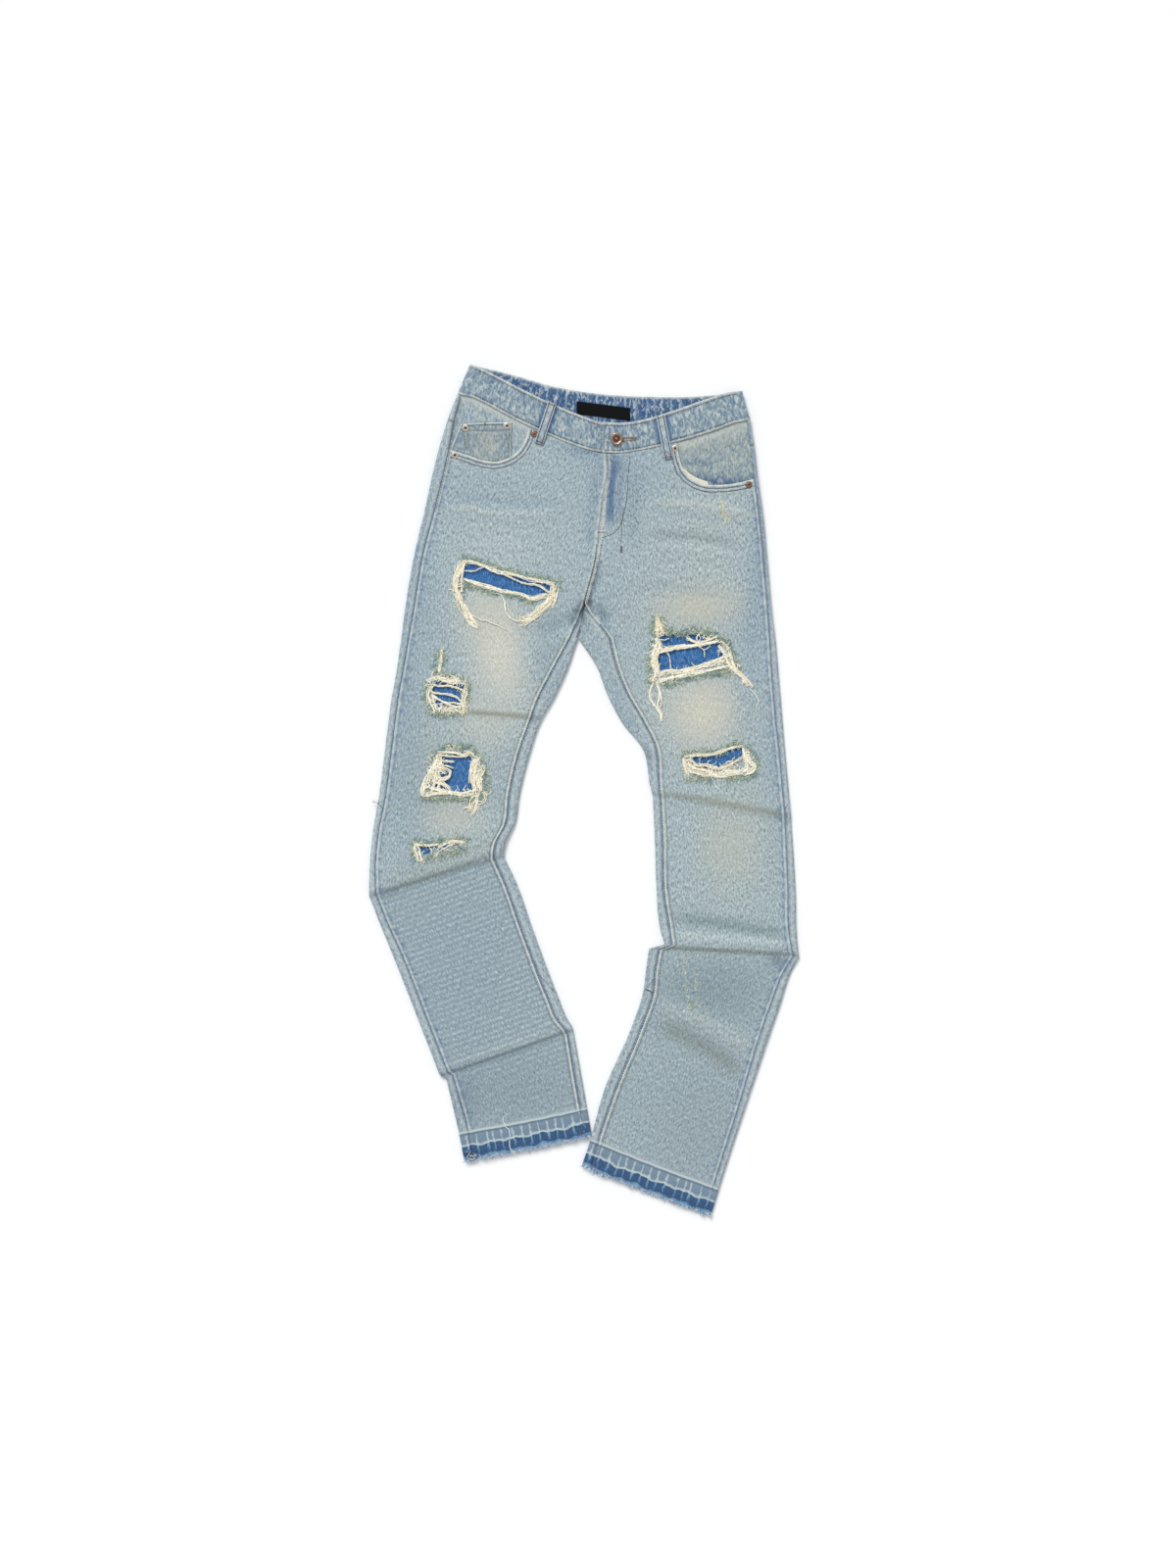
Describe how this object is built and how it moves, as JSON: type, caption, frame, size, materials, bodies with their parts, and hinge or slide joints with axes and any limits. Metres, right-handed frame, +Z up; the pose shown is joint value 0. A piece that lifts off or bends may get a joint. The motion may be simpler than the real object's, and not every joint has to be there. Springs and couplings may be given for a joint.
{
  "type": "ripped jeans",
  "caption": "Straight-leg ripped five-pocket jeans laid flat, front up, with frayed knees over backing patches and released raw hems.",
  "frame": {"origin": "on the surface the jeans lie on, under the middle of their outline", "axes": "+Y towards the waist, +X towards the wearer's left, +Z up from the surface, out of the front"},
  "size_m": [0.5691, 1.1279, 0.015],
  "materials": {
    "denim": "stone-washed indigo twill, bleached pale",
    "seat_denim": "washed indigo twill, darker",
    "patch_denim": "unwashed mid-blue twill",
    "label_weave": "black woven ribbon",
    "pocketing": "cream cotton pocketing and bare weft thread",
    "copper": "antique copper, rubbed"
  },
  "bodies": {
    "root": {"front_right": "denim", "front_left": "denim", "back_right": "seat_denim", "back_left": "seat_denim", "back_right_calf": "seat_denim", "back_left_calf": "seat_denim", "yoke_right": "seat_denim", "yoke_left": "seat_denim", "waistband": "denim", "loop_front_right": "denim", "loop_front_left": "denim", "loop_back_right": "seat_denim", "loop_back_center": "seat_denim", "loop_back_left": "seat_denim", "facing_right": "denim", "coin_pocket": "denim", "facing_left": "denim", "pocket_bag_left": "pocketing", "back_pocket_right": "seat_denim", "back_pocket_left": "seat_denim", "patch_right_thigh": "patch_denim", "patch_right_upper_knee": "patch_denim", "patch_right_knee": "patch_denim", "patch_right_shin": "patch_denim", "patch_left_thigh": "patch_denim", "patch_left_knee": "patch_denim", "label": "label_weave", "button": "copper", "rivet_coin_outer": "copper", "rivet_coin_inner": "copper", "rivet_right_side": "copper", "rivet_right_waist": "copper", "rivet_left_waist": "copper", "rivet_left_side": "copper"}
  },
  "joints": []
}
